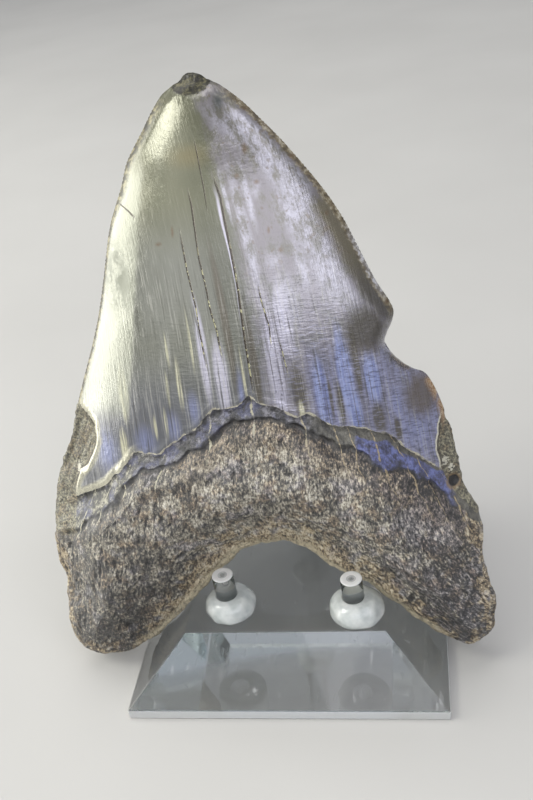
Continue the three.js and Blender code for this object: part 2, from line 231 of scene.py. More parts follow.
BITE_STAINS = [(34.2, 46.6, 2.4, 4.2), (36.2, 41.5, 1.4, 5)]
BITE_LINE = (28.6, 53.4, 4, 3.4)
# Painted shade in the hollow under the bite and beside it.
BITE_SHADE = [(32.6, 46.6, 5.4, 7.6), (22, 61, 7, 8)]
BLUE_BAND_U = (19, 39)
ENAMEL_REMNANTS = [(-44.2, 34, 1.3, 2.4), (36.6, 31.6, 1.7, 2.2), (37.9, 30, 1.2, 1.6)]

# Painted shade: a dark strip down the right side of the crown, inside a speckled rim, and where it is at
# full width. The rim's light tan is partly painted glint, and one stretch of it holds a brighter painted
# glint.
SHADE_WIDTH = 3.8
SHADE_TOP_V = 92
SHADE_FULL_V = 84
RIM_WIDTH = 1.4
GLINT_RIM_V = (68, 80)

# Cracks of the crown: half the width of the dark line, and its points from the top down.
CRACKS = [
    (0.2, (-13.9, 85.5), (-13.1, 79), (-12.6, 75.3), (-11.5, 68.9), (-11.1, 63.8), (-10.2, 55.9)),
    (0.2, (-11.8, 93.6), (-10.9, 89.1), (-10.1, 78.8), (-9.1, 73.1), (-8.4, 67.7), (-7.4, 63.6), (-6.7, 57)),
    (0.26, (-6.6, 96), (-4.8, 90), (-4.2, 85), (-3.3, 79), (-2.4, 71.6), (-1.8, 61.2), (-0.9, 50)),
    (0.18, (1.5, 72.9), (2, 69.3), (3.3, 63.8), (3.4, 59.3)),
    (0.14, (5, 61.1), (5.6, 58.1), (6.3, 54.1)),
    (0.12, (-9.8, 103), (-8.8, 96.4), (-8.1, 91.8), (-7.6, 87.2)),
    (0.3, (-28.5, 91.1), (-26.2, 89.7), (-24, 87.7)),
]
BORDERED_CRACK = 2

# Cream threads that run down across the band into the root: u at the band, and the reach below it.
THREADS = [-41, -35.5, -29.8, -21, -10.5, -1.6, 8, 14.6, 17.2, 22.5, 27.5, 30.8, 35.6]
THREAD_MARGIN = 6

# Light paths through the clear block cross many faces, so they need this many bounces.
CLEAR_BOUNCES = 24

# The floor's size in metres, and how far it lies below the block, so that the faces don't fall together.
FLOOR_SIZE = 8
FLOOR_GAP = 0.0001

# Soft panels: azimuth from -Y toward +X and elevation in degrees, both seen from the target, distance and
# size in metres, radiance and tint. The world adds an even glow.
LIGHTS = {
    "key": (-150, 68, 1.7, (1.4, 1.4), 2.1, (1, 0.985, 0.96)),
    "left_strip": (-96, 14, 0.87, (0.72, 0.56), 3.9, (1, 0.99, 0.92)),
    "left_low": (-72, 4, 0.87, (0.24, 0.14), 3, (1, 0.99, 0.92)),
    "left_high": (-74, 48, 0.9, (0.28, 0.32), 8.5, (1, 0.99, 0.9)),
    "front_fill": (-38, 34, 1, (0.8, 0.7), 0.9, (0.97, 0.97, 0.92)),
    "right_panel": (28, 44, 1, (1, 0.48), 2.1, (0.94, 0.94, 1)),
    "right_high": (78, 60, 1, (0.4, 0.3), 2, (0.94, 0.94, 1)),
}
LIGHT_TARGET = (0, 0, 0.08)
WORLD_TINT = (0.9, 0.93, 1, 1)
WORLD_STRENGTH = 0.34

# Camera of the photo: where it stands, where it looks and its focal length for the long side.
CAMERA_PLACE = (35.9, -166.7, 166.1)
CAMERA_YAW = math.radians(12.1)
CAMERA_TILT = math.radians(32.1)
CAMERA_ROLL = math.radians(-9.7)
CAMERA_LENS = 42.66
CAMERA_SENSOR = 36


def mix(a, b, k):
    return a + (b - a) * k


def smooth(x):
    x = np.clip(x, 0, 1)
    return x * x * (3 - 2 * x)


def quarter_round(x):
    return np.sqrt(1 - (1 - np.clip(x, 0, 1)) ** 2)


def bump(x, y=0.0):
    return np.exp(-x * x - y * y)


# Gradient noise.
draw = np.random.default_rng(41)
SHUFFLE = draw.permutation(256)
GRADIENTS = draw.normal(size=(256, 3))
GRADIENTS /= np.linalg.norm(GRADIENTS, axis=1, keepdims=True)


def noise(points, size):
    """Smooth noise from about -1 to 1, whose lumps are `size` wide: one number or three."""
    scaled = points / size
    cell = np.floor(scaled).astype(int)
    inside = scaled - cell
    fade = inside ** 3 * (inside * (inside * 6 - 15) + 10)
    total = np.zeros(len(points))
    for corner in np.ndindex(2, 2, 2):
        at = cell + corner
        row = SHUFFLE[(SHUFFLE[(SHUFFLE[at[:, 0] & 255] + at[:, 1]) & 255] + at[:, 2]) & 255]
        share = np.prod(np.where(corner, fade, 1 - fade), axis=1)
        total += share * (GRADIENTS[row] * (inside - corner)).sum(1)
    return 1.7 * total


def fractal(points, size, octaves=3):
    return sum(noise(points + 17.3 * k, size / 2 ** k) / 2 ** k for k in range(octaves))


def streaks(points, direction, width, length):
    """Noise that is smeared along a direction, so it makes grains of that width and length."""
    steps = np.linspace(-0.5, 0.5, 7)
    return sum(noise(points + direction * length * k, width) for k in steps) / math.sqrt(len(steps))


# Curves of the outline.
def spline(points, closed):
    """Points along the centripetal Catmull-Rom curve through the given ones."""
    p = np.array(points, float)
    if closed:
        ring = np.vstack([p[-1], p, p[:2]])
    else:
        ring = np.vstack([2 * p[0] - p[1], p, 2 * p[-1] - p[-2]])
    curve = []
    for i in range(len(ring) - 3):
        p0, p1, p2, p3 = ring[i : i + 4]
        d0, d1, d2 = (np.linalg.norm(b - a) ** 0.5 for a, b in ((p0, p1), (p1, p2), (p2, p3)))
        start = ((p1 - p0) / d0 - (p2 - p0) / (d0 + d1) + (p2 - p1) / d1) * d1
        stop = ((p2 - p1) / d1 - (p3 - p1) / (d1 + d2) + (p3 - p2) / d2) * d1
        for k in np.arange(CURVE_STEPS) / CURVE_STEPS:
            square = (3 * (p2 - p1) - 2 * start - stop) * k ** 2
            cube = (2 * (p1 - p2) + start + stop) * k ** 3
            curve.append(p1 + start * k + square + cube)
    if not closed:
        curve.append(p[-1])
    return np.array(curve)


class Line:
    """A polyline that is walked by the fraction of its length."""

    def __init__(self, points):
        self.points = np.array(points)
        steps = np.linalg.norm(np.diff(self.points, axis=0), axis=1)
        self.length = steps.sum()
        self.part = np.concatenate([[0], np.cumsum(steps)]) / self.length

    def at(self, fraction):
        return np.stack([np.interp(fraction, self.part, self.points[:, k]) for k in (0, 1)], -1)

    def nearest(self, target):
        return self.part[np.argmin(np.linalg.norm(self.points - target, axis=1))]


def distance_to(path, points, closed=False):
    a = path if closed else path[:-1]
    along = (np.roll(path, -1, 0) if closed else path[1:]) - a
    square = (along ** 2).sum(1)
    nearest = np.empty(len(points))
    for start in range(0, len(points), POINTS_AT_ONCE):
        some = slice(start, start + POINTS_AT_ONCE)
        away = points[some, None] - a
        part = np.clip((away * along).sum(-1) / square, 0, 1)
        rest = away - along * part[..., None]
        nearest[some] = np.sqrt((rest ** 2).sum(-1).min(1))
    return nearest


def height_above(path, points):
    """How far points lie above a chevron, measured square to it."""
    i = np.clip(np.searchsorted(path[:, 0], points[:, 0]), 1, len(path) - 1)
    a, b = path[i - 1], path[i]
    cross = (points[:, 1] - a[:, 1]) * (b[:, 0] - a[:, 0]) - (points[:, 0] - a[:, 0]) * (b[:, 1] - a[:, 1])
    return np.sign(cross) * distance_to(path, points)


outline = spline(LEFT_EDGE + WORN_TIP + RIGHT_EDGE + ROOT_ARCH, True)
band_foot = spline(BAND_FOOT, False)
enamel_foot = spline(ENAMEL_FOOT, False)
LEFT_END = (len(LEFT_EDGE) - 1) * CURVE_STEPS
RIGHT_START = LEFT_END + (len(WORN_TIP) + 1) * CURVE_STEPS
RIGHT_END = RIGHT_START + (len(RIGHT_EDGE) - 1) * CURVE_STEPS
SIDES = {
    "left": Line(outline[: LEFT_END + 1]),
    "right": Line(outline[RIGHT_START : RIGHT_END + 1][::-1]),
}
tip_side = Line(outline[LEFT_END : RIGHT_START + 1])
arch_side = Line(np.vstack([outline[RIGHT_END:], outline[:1]])[::-1])


def fitted_line(points, left, right):
    """Points of a chevron by fraction, with its ends moved onto the outline."""
    line = Line(points)
    left_shift = SIDES["left"].at(left) - points[0]
    right_shift = SIDES["right"].at(right) - points[-1]

    def at(fraction):
        t = np.asarray(fraction)[..., None]
        return line.at(fraction) + left_shift * (1 - t) + right_shift * t

    return at


def side_stops(side, end):
    """Where the chevrons' ends meet a side, as fractions of its length."""
    return [0, *(SIDES[side].nearest(line[end]) for line in (band_foot, enamel_foot)), 1]


def row_rises():
    """For each row of the grid, the zone that it is in and how far up that zone it lies."""
    rises = [np.arange(ROWS[zone]) / ROWS[zone] for zone in ("root", "band", "crown")]
    rises[0] = mix(rises[0], rises[0] ** 2, ROOT_CROWDING)
    rises[2] = np.append(rises[2], 1)
    return np.repeat(range(3), [len(rise) for rise in rises]), np.concatenate(rises)


def column_shares():
    j = np.arange(COLUMNS + 1) / COLUMNS
    return mix(j, (1 - np.cos(np.pi * j)) / 2, COLUMN_CROWDING)


def evened(grid):
    """The grid with its crown cells beside the bite moved toward an even net, by Winslow's equations."""
    net = grid[ROWS["root"] + ROWS["band"] :]
    away = np.linalg.norm(net[1:-1, 1:-1] - EVEN_PLACE, axis=-1, keepdims=True)
    share = smooth(2 - 2 * away / EVEN_REACH)
    for _ in range(EVEN_PASSES):
        right, left = net[1:-1, 2:], net[1:-1, :-2]
        above, below = net[2:, 1:-1], net[:-2, 1:-1]
        across, up = right - left, above - below
        across_square, up_square, both = (
            (a * b).sum(-1, keepdims=True) for a, b in ((across, across), (up, up), (across, up))
        )
        twist = net[2:, 2:] - net[2:, :-2] - net[:-2, 2:] + net[:-2, :-2]
        even = up_square * (left + right) + across_square * (below + above) - both / 2 * twist
        net[1:-1, 1:-1] += share * (even / (2 * (up_square + across_square)) - net[1:-1, 1:-1])
    return grid


def plane_grid():
    """The grid's points in the tooth's plane, and the fractions of each side at which its rows end."""
    zones, rises = row_rises()
    t = column_shares()[None, :, None]
    stops = {"left": side_stops("left", 0), "right": side_stops("right", -1)}
    lines = [
        arch_side.at,
        fitted_line(band_foot, stops["left"][1], stops["right"][1]),
        fitted_line(enamel_foot, stops["left"][2], stops["right"][2]),
        tip_side.at,
    ]
    grid = np.empty((len(rises), COLUMNS + 1, 2))
    fractions = {"left": np.empty(len(rises)), "right": np.empty(len(rises))}
    for zone in range(3):
        rows = zones == zone
        s = rises[rows][:, None, None]
        grid[rows] = mix(lines[zone](column_shares()), lines[zone + 1](column_shares()), s)
        for key, share in (("left", 1 - t), ("right", t)):
            side = SIDES[key]
            low, high = stops[key][zone : zone + 2]
            fractions[key][rows] = mix(low, high, rises[rows])
            bulge = side.at(fractions[key][rows])[:, None] - mix(side.at(low), side.at(high), s)
            grid[rows] += share ** BULGE_FADE * bulge
    return evened(grid), fractions


def undamaged_side(side):
    """The side's u by its v, with the bite on the right filled up to a smooth edge."""
    u, v = side.points[:, 0], side.points[:, 1]
    part = (BITE_TOP[1] - v) / (BITE_TOP[1] - BITE_FOOT[1])
    filled = mix(BITE_TOP[0], BITE_FOOT[0], part) + np.sin(np.pi * np.clip(part, 0, 1))
    bitten = (part > 0) & (part < 1) & (u > 0)
    return v, np.where(bitten, filled, u)


def crown_offset(uv):
    """Place across the crown: -1 on the left edge, and 1 on the right edge as it was before the bite."""
    left, right = (np.interp(uv[:, 1], *undamaged_side(side)) for side in SIDES.values())
    return np.clip(2 * (uv[:, 0] - left) / (right - left) - 1, -1, 1)


def middle_bend(v):
    lobes = LOBE_BEND["depth"] * np.maximum((LOBE_BEND["v"] - v) / LOBE_BEND["reach"], 0) ** 2
    tip = TIP_BEND["depth"] * np.maximum((v - TIP_BEND["v"]) / TIP_BEND["reach"], 0) ** 2
    return lobes - tip


def plane_fields(uv):
    """Distances in the tooth's plane that shape and colour both use, in millimetres."""
    u, v = uv.T
    solid = np.column_stack([uv, np.zeros(len(uv))])
    edge = distance_to(outline, uv, True)
    above_foot = height_above(band_foot, uv)
    above_enamel = height_above(enamel_foot, uv)
    ragged_foot = above_foot + 0.9 * noise(solid, 4.2) + 0.45 * noise(solid + 50, 1.7)
    ragged_enamel = above_enamel + 0.3 * noise(solid + 90, 3) + 0.2 * noise(solid + 70, 1.1)
    ragged_enamel = ragged_enamel + 0.1 * noise(solid + 20, 0.6)
    wear_line = np.array(LEFT_WEAR)
    side = np.sign(u - np.interp(v, wear_line[:, 1], wear_line[:, 0]))
    outside_flake = side * distance_to(wear_line, uv) + 0.3 * noise(solid + 30, 1.6)
    rim_line = RIGHT_WEAR["u"] + RIGHT_WEAR["flare"] * ((v - RIGHT_WEAR["v"]) / RIGHT_WEAR["along"]) ** 2
    inside_rim = rim_line - u + 0.35 * noise(solid + 10, 1.8)
    wear = np.minimum(outside_flake, inside_rim)
    return {
        "edge": edge,
        "foot": above_foot,
        "above": above_enamel,
        "band": ragged_foot,
        "enamel": np.minimum(ragged_enamel, wear),
        "flake": outside_flake,
        "wear": wear,
    }


def grain_lines(uv):
    """A number that is the same all along each line of the root's grain, and the grain's direction."""
    u, v = uv.T
    down = np.clip((GRAIN_TOP_V - v) / GRAIN_REACH, 0, 1.3)
    bend = mix(GRAIN_BEND["left"], GRAIN_BEND["right"], smooth(u / 30 + 0.5))
    across = 1 - bend * down ** 2
    slope = 2 * bend * down / GRAIN_REACH * u / across
    direction = np.column_stack([slope, -np.ones(len(u)), np.zeros(len(u))])
    return u * across, direction / np.linalg.norm(direction, axis=1, keepdims=True)


def streak_lines(uv):
    """A number that is the same all along each streak of the crown."""
    u, v = uv.T
    lean = STREAK_LEAN + STREAK_FAN * np.clip(u, -20, 25)
    return u + lean * (v - STREAK_V) + STREAK_CURVE["rate"] * np.maximum(v - STREAK_CURVE["v"], 0) ** 2


def spot(uv, place):
    """A soft bump with its middle and its reach from the place, 1 in the middle."""
    return bump((uv[:, 0] - place["u"]) / place["across"], (uv[:, 1] - place["v"]) / place["along"])


def sheet_height(uv, fields, side):
    """Height of the front or the back surface above the middle plane, without its fine relief."""
    u, v = uv.T
    edge = fields["edge"]
    offset = crown_offset(uv)
    lens = np.clip(1 - offset ** 2, 0, 1)
    up = np.clip((v - CROWN_BASE_V) / CROWN_LENGTH, 0, 1)
    bite = np.where(offset > 0, bump((v - BITE_V) / BITE_REACH), 0)
    crown_edge = quarter_round(edge / mix(CROWN_EDGE_RADIUS, BITE_RIM_RADIUS, bite))
    full = smooth(edge / ROOT_FULLNESS_REACH)
    root = ROOT_RIM[side] * quarter_round(edge / ROOT_RIM[side]) + ROOT_FULLNESS[side] * full
    crown_share = smooth((fields["foot"] + fields["above"] + CROWN_FADE["start"]) / CROWN_FADE["span"])
    if side == "back":
        return mix(root, CROWN_BACK * (1 - up ** 2) ** 0.7 * lens ** 0.7 * crown_edge, crown_share)
    crown = CROWN_FRONT * (1 - up ** 1.7) ** 0.8 * lens ** 0.85 * crown_edge
    root = root + ROOT_BOSS["height"] * spot(uv, ROOT_BOSS)
    groove = GROOVE_DEPTH * bump((fields["band"] + 0.4) / GROOVE_WIDTH)
    groove = groove + FISSURE_DEPTH * bump(fields["band"] / FISSURE_WIDTH)
    dip = BAND_DIP * smooth(fields["band"] / 1.5) * smooth(-fields["enamel"] / 1.2)
    flaked = smooth(-fields["flake"] / 1.6) * smooth((v - FLAKE_FOOT_V) / 4)
    hollow = bump(np.hypot(u - HOLE["u"], v - HOLE["v"]) ** 2 / HOLE["radius"] ** 2)
    worn = TIP_CHIP["depth"] * spot(uv, TIP_CHIP) + FLAKE_DEPTH * flaked + HOLE["depth"] * hollow
    sunk = (groove + dip) * smooth(edge / 5) + worn * smooth(edge / 1.5)
    return np.maximum(mix(root, crown, crown_share) - sunk, 0)


def to_part(uv, height):
    """Points of the part's frame from the tooth's plane."""
    y = TOOTH_FOOT_Y + uv[:, 1] * math.sin(TOOTH_LEAN) - height * math.cos(TOOTH_LEAN)
    z = BLOCK_HEIGHT + uv[:, 1] * math.cos(TOOTH_LEAN) + height * math.sin(TOOTH_LEAN)
    return np.column_stack([uv[:, 0], y, z])


def fine_relief(uv, solid, fields, front):
    """Displacement along the surface's normal, and the part of it that colours the root."""
    u, v = uv.T
    edge, band, enamel = fields["edge"], fields["band"], fields["enamel"]
    on_root = smooth(0.5 - band / 0.5)
    on_enamel = smooth(enamel / 0.4 + 0.5)
    on_band = np.clip(1 - on_root - on_enamel, 0, 1)
    direction = grain_lines(uv)[1]
    pits = smooth((streaks(solid + 120, direction, 1.0, 1.8) - 0.4) / 0.5)
    rough = 0.55 * streaks(solid, direction, GRAIN_WIDTH, GRAIN_LENGTH)
    rough = rough + 0.35 * streaks(solid + 40, direction, 1.5, 4.5) + 0.3 * noise(solid + 80, 1.1)
    rim_lines = noise(np.column_stack([edge / 0.8, (u + v) / 9, front * 7.0]), 1)
    rim_lines = rim_lines * smooth(1 - edge / 5) * smooth(edge / 0.6) * smooth((22 - v) / 8)
    root = LUMP_HEIGHT * fractal(solid, 9, 2) + KNOB_HEIGHT * noise(solid + 60, 3.6)
    root = root + GRAIN_HEIGHT * rough - PIT_DEPTH * pits + 0.35 * rim_lines
    wrinkles = 0.1 * streaks(solid + 200, direction, 0.9, 3) + 0.12 * noise(solid + 220, 1.8)
    waves = 0.07 * fractal(solid + 150, 11, 2) + 0.015 * noise(solid, (5, 5, 2.4))
    waves = waves + RIPPLES["height"] * spot(uv, RIPPLES) * noise(solid + 500, (3.5, 1.5, 3))
    chipped = smooth(-fields["wear"] / 0.8) * smooth(band / 2) * 0.3 * fractal(solid + 300, 1.6, 2)
    chipped = chipped + spot(uv, TIP_CHIP) * (0.35 * fractal(solid + 400, 2.2, 3) - 0.15)
    ledge = LEDGE_HEIGHT * (smooth(band / 0.4 + 0.5) - 1)
    lip = ENAMEL_LIP * smooth(enamel / 0.5 + 0.5) + 0.12 * bump((enamel - 0.5) / 0.5)
    steps = (ledge + lip) * front * smooth(edge / 3)
    height = on_root * root + on_band * wrinkles + on_enamel * waves + steps + chipped
    return height, rough - 1.2 * pits


def serrations(fraction, side, v, start):
    """Outward height of the small teeth along one edge of the crown."""
    place = fraction * side.length
    wave = np.abs(2 * (place / SERRATION_PITCH % 1) - 1)
    along = np.column_stack([place, 0 * place, 0 * place + start])
    worn = smooth(0.6 + 0.8 * noise(along, 4.5))
    return SERRATION_HEIGHT * (wave - 0.5) * worn * smooth((v - start) / 6) * smooth((SERRATION_END - v) / 4)


def edge_places(fractions):
    """The places up one side, counted in rows and finer along the crown, and their side fractions."""
    rows = len(fractions)
    steps = [EDGE_STEPS if i >= ROWS["root"] + ROWS["band"] else 1 for i in range(rows - 1)]
    place = np.concatenate([np.arange(n) / n + i for i, n in enumerate(steps)] + [[rows - 1]])
    return place, np.interp(place, np.arange(rows), fractions)


def tooth_points():
    """Points of the tooth in its plane, their numbers in the two sheets, and those up each side."""
    grid, fractions = plane_grid()
    inner = grid[BACK_STEP:-1:BACK_STEP, BACK_STEP:-1:BACK_STEP]
    front = np.arange(grid[..., 0].size).reshape(grid.shape[:2])
    back = front[::BACK_STEP, ::BACK_STEP].copy()
    back[1:-1, 1:-1] = front.size + np.arange(inner[..., 0].size).reshape(inner.shape[:2])
    uv = [grid.reshape(-1, 2), inner.reshape(-1, 2)]
    chains = {}
    for key, column in (("left", 0), ("right", -1)):
        place, fraction = edge_places(fractions[key])
        extra = place % 1 > 0
        ids = front[np.floor(place).astype(int), column]
        ids[extra] = sum(map(len, uv)) + np.arange(extra.sum())
        uv.append(SIDES[key].at(fraction[extra]))
        chains[key] = {"ids": ids, "place": place, "fraction": fraction}
    return np.vstack(uv), front, back, chains


def sheet_faces(ids, front, chains, step, flipped):
    """Faces of one sheet. The cells on its border take in all the points there."""
    last_row, last_column = ids.shape[0] - 2, ids.shape[1] - 2
    faces = []

    def chain(key, i):
        low, high = np.searchsorted(chains[key]["place"], [i * step, (i + 1) * step])
        return list(chains[key]["ids"][low : high + 1])

    def cross(row, j):
        if row in (0, last_row + 1):
            rim = front[0] if row == 0 else front[-1]
            return list(rim[j * step : (j + 1) * step + 1])
        return [ids[row, j], ids[row, j + 1]]

    for i, j in np.ndindex(last_row + 1, last_column + 1):
        if 0 < i < last_row and 0 < j < last_column:
            continue
        left = chain("left", i) if j == 0 else [ids[i, j], ids[i + 1, j]]
        right = chain("right", i) if j == last_column else [ids[i, j + 1], ids[i + 1, j + 1]]
        loop = cross(i, j)[:-1] + right[:-1] + cross(i + 1, j)[:0:-1] + left[:0:-1]
        faces.append(loop[::-1] if flipped else loop)
    corners = [ids[:-1, :-1], ids[:-1, 1:], ids[1:, 1:], ids[1:, :-1]]
    quads = np.stack(corners[::-1] if flipped else corners, -1)[1:-1, 1:-1]
    return faces + quads.reshape(-1, 4).tolist()


def thread_phase(uv):
    """A smooth count of threads from the left, whole on each thread's line."""
    u, v = uv.T
    sway = 0.5 * noise(np.column_stack([u / 6, v / 3, 0 * u]), 1)
    foot = np.interp(u, band_foot[:, 0], band_foot[:, 1])
    lean = 0.018 * (u + 4) * np.clip(foot - v + 4, -4, 14)
    places = [THREADS[0] - THREAD_MARGIN, *THREADS, THREADS[-1] + THREAD_MARGIN]
    counts = [-0.5, *range(len(THREADS)), len(THREADS) - 0.5]
    return np.interp(u - lean + sway, places, counts)


def crack_distance(uv, path):
    """Distance to the right of a crack, kept small far away from it."""
    u, v = np.array(path)[::-1].T
    return np.clip(uv[:, 0] - np.interp(uv[:, 1], v, u), -5, 5)


def set_values(mesh, name, values):
    """A number or a vector for each point of the mesh."""
    kind, key = ("FLOAT", "value") if values.ndim == 1 else ("FLOAT_VECTOR", "vector")
    data = mesh.attributes.new(name, kind, "POINT").data
    data.foreach_set(key, values.astype(np.float32).ravel())


def add_piece(name, mesh, node, material, place=(0, 0, 0)):
    mesh.materials.append(material)
    piece = bpy.data.objects.new(name, mesh)
    piece.location = place
    bpy.context.scene.collection.objects.link(piece)
    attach(piece, "root")
    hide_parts(node)


def make_tooth():
    uv, front, back, chains = tooth_points()
    fields = plane_fields(uv)
    is_back = np.zeros(len(uv), bool)
    is_back[back[1:-1, 1:-1]] = True
    heights = np.where(is_back, -sheet_height(uv, fields, "back"), sheet_height(uv, fields, "front"))
    heights[fields["edge"] < EDGE_TOLERANCE] = 0
    for ids in (front[0], front[-1], chains["left"]["ids"], chains["right"]["ids"]):
        heights[ids] = 0
    heights += middle_bend(uv[:, 1])
    solid = to_part(uv, heights)
    faces = sheet_faces(front, front, chains, 1, False) + sheet_faces(back, front, chains, BACK_STEP, True)
    mesh = bpy.data.meshes.new("tooth_detail")
    mesh.from_pydata(solid.tolist(), [], faces)
    mesh.update()
    normals = np.empty(len(uv) * 3, np.float32)
    mesh.vertex_normals.foreach_get("vector", normals)
    front_share = np.where(is_back, 0.0, 1.0)
    relief, mark = fine_relief(uv, np.column_stack([uv, heights]), fields, front_share)
    for key, start in SERRATION_START.items():
        ids = chains[key]["ids"]
        relief[ids] += serrations(chains[key]["fraction"], SIDES[key], uv[ids, 1], start)
    solid += normals.reshape(-1, 3).astype(float) * relief[:, None]
    mesh.vertices.foreach_set("co", (solid * MM).ravel())
    mesh.update()
    mesh.polygons.foreach_set("use_smooth", np.ones(len(mesh.polygons), bool))
    for name, first in (("plane", uv[:, 0]), ("silk", streak_lines(uv)), ("grain", grain_lines(uv)[0])):
        set_values(mesh, name, np.column_stack([first, uv[:, 1], heights]))
    for number, (_, *path) in enumerate(CRACKS):
        set_values(mesh, f"crack_{number}", crack_distance(uv, path))
    for name in ("edge", "band", "enamel", "wear"):
        set_values(mesh, name, fields[name])
    for name, values in (("mark", mark), ("front", front_share), ("thread", thread_phase(uv))):
        set_values(mesh, name, values)
    add_piece("tooth_detail", mesh, "tooth", fossil_material())


# Materials. Shades are the usual 0 to 255 values. In every span the first two numbers are where it starts
# and stops, and the next two, 0 and 1 if left out, are its values there.
def linear(shade):
    """A shade turned into Blender's linear colour. One that comes from other nodes is left as it is."""
    if isinstance(shade, Value):
        return shade
    parts = [part / 255 for part in shade]
    return (*(c / 12.92 if c <= 0.04045 else ((c + 0.055) / 1.055) ** 2.4 for c in parts), 1)


class Value:
    """One output of a material's nodes. Sums, products and the calls below add the nodes that follow it."""

    def __init__(self, make, socket):
        self.make = make
        self.socket = socket

    def math(self, operation, other=0.0):
        return self.make.add("ShaderNodeMath", {0: self, 1: other}, operation=operation)

    def __add__(self, other):
        return self.math("ADD", other)

    def __sub__(self, other):
        return self.math("SUBTRACT", other)

    def __mul__(self, other):
        return self.math("MULTIPLY", other)

    def __abs__(self):
        return self.math("ABSOLUTE")

    def most(self, other):
        return self.math("MAXIMUM", other)

    def parts(self):
        return [self.make.add("ShaderNodeSeparateXYZ", {0: self}, k) for k in range(3)]

    def vector(self, operation, other=(0, 0, 0), output=0):
        return self.make.add("ShaderNodeVectorMath", {0: self, 1: other}, output, operation=operation)

    def stretch(self, *scale):
        return self.vector("MULTIPLY", scale)

    def noise(self, scale, detail=2.0, roughness=0.5):
        """Noise whose scale is one number, or one for each axis."""
        if isinstance(scale, tuple):
            return self.stretch(*scale).noise(1, detail, roughness)
        inputs = {"Vector": self, "Scale": scale, "Detail": detail, "Roughness": roughness}
        return self.make.add("ShaderNodeTexNoise", inputs)

    def cells(self, scale):
        return self.make.add("ShaderNodeTexVoronoi", {"Vector": self, "Scale": scale}, "Distance")

    def patch(self, u, v, across, along, core=0.0):
        """A soft round patch of the tooth's plane, 1 inside its core and 0 outside."""
        scaled = self.vector("ADD", (-u, -v, 0)).stretch(1 / across, 1 / along, 0)
        return scaled.vector("LENGTH", output="Value").span(1, core)

    def patches(self, places, core=0.0):
        return reduce(Value.most, [self.patch(*place, core) for place in places])

    def span(self, low, high, to_low=0.0, to_high=1.0):
        """The value's place between low and high, smoothed and carried over to the other two."""
        inputs = {"Value": self, "From Min": low, "From Max": high, "To Min": to_low, "To Max": to_high}
        return self.make.add("ShaderNodeMapRange", inputs, interpolation_type="SMOOTHSTEP")

    def amount(self, low, high):
        """The first number where this value is 0, and the second where it is 1."""
        return self.make.add("ShaderNodeMix", {"Factor": self, "A": low, "B": high}, data_type="FLOAT")

    def tone(self, low, high, mode="MIX"):
        """The first shade where this value is 0, and the second where it is 1."""
        inputs = {"Factor": self, 6: linear(low), 7: linear(high)}
        return self.make.add("ShaderNodeMix", inputs, 2, data_type="RGBA", blend_type=mode)

    def ramp(self, *stops):
        """A run of shades, each given as its place and its red, green and blue."""
        ramp = self.make.add("ShaderNodeValToRGB", {0: self})
        elements = ramp.socket.node.color_ramp.elements
        while len(elements) < len(stops):
            elements.new(0.5)
        for element, (place, *shade) in zip(elements, stops):
            element.position = place
            element.color = linear(shade)
        return ramp

    def relief(self, depth):
        return self.make.add("ShaderNodeBump", {"Height": self, "Distance": depth, "Strength": 1})


class Paint:
    """A shade that others are laid over one by one, each as far as its own share says."""

    def __init__(self, shade):
        self.shade = shade

    def lay(self, share, shade, mode="MIX"):
        self.shade = share.tone(self.shade, shade, mode)


class Nodes:
    """The shader nodes of one material."""

    def __init__(self, name):
        self.material = bpy.data.materials.new(name)
        self.material.use_nodes = True
        self.tree = self.material.node_tree
        self.tree.nodes.clear()

    def add(self, kind, inputs, output=0, **settings):
        node = self.tree.nodes.new(kind)
        for key, value in settings.items():
            setattr(node, key, value)
        for key, value in inputs.items():
            if isinstance(value, Value):
                self.tree.links.new(value.socket, node.inputs[key])
            else:
                node.inputs[key].default_value = value
        return Value(self, node.outputs[output])

    def attribute(self, name, output="Fac"):
        return self.add("ShaderNodeAttribute", {}, output, attribute_name=name)

    def surface(self, volume=None, **inputs):
        """Joins a Principled shader to the output. Spaces in its sockets' names are written as _."""
        shader = self.add("ShaderNodeBsdfPrincipled", {k.replace("_", " "): v for k, v in inputs.items()})
        output = self.tree.nodes.new("ShaderNodeOutputMaterial")
        self.tree.links.new(shader.socket, output.inputs["Surface"])
        if volume:
            self.tree.links.new(volume.socket, output.inputs["Volume"])
        return self.material


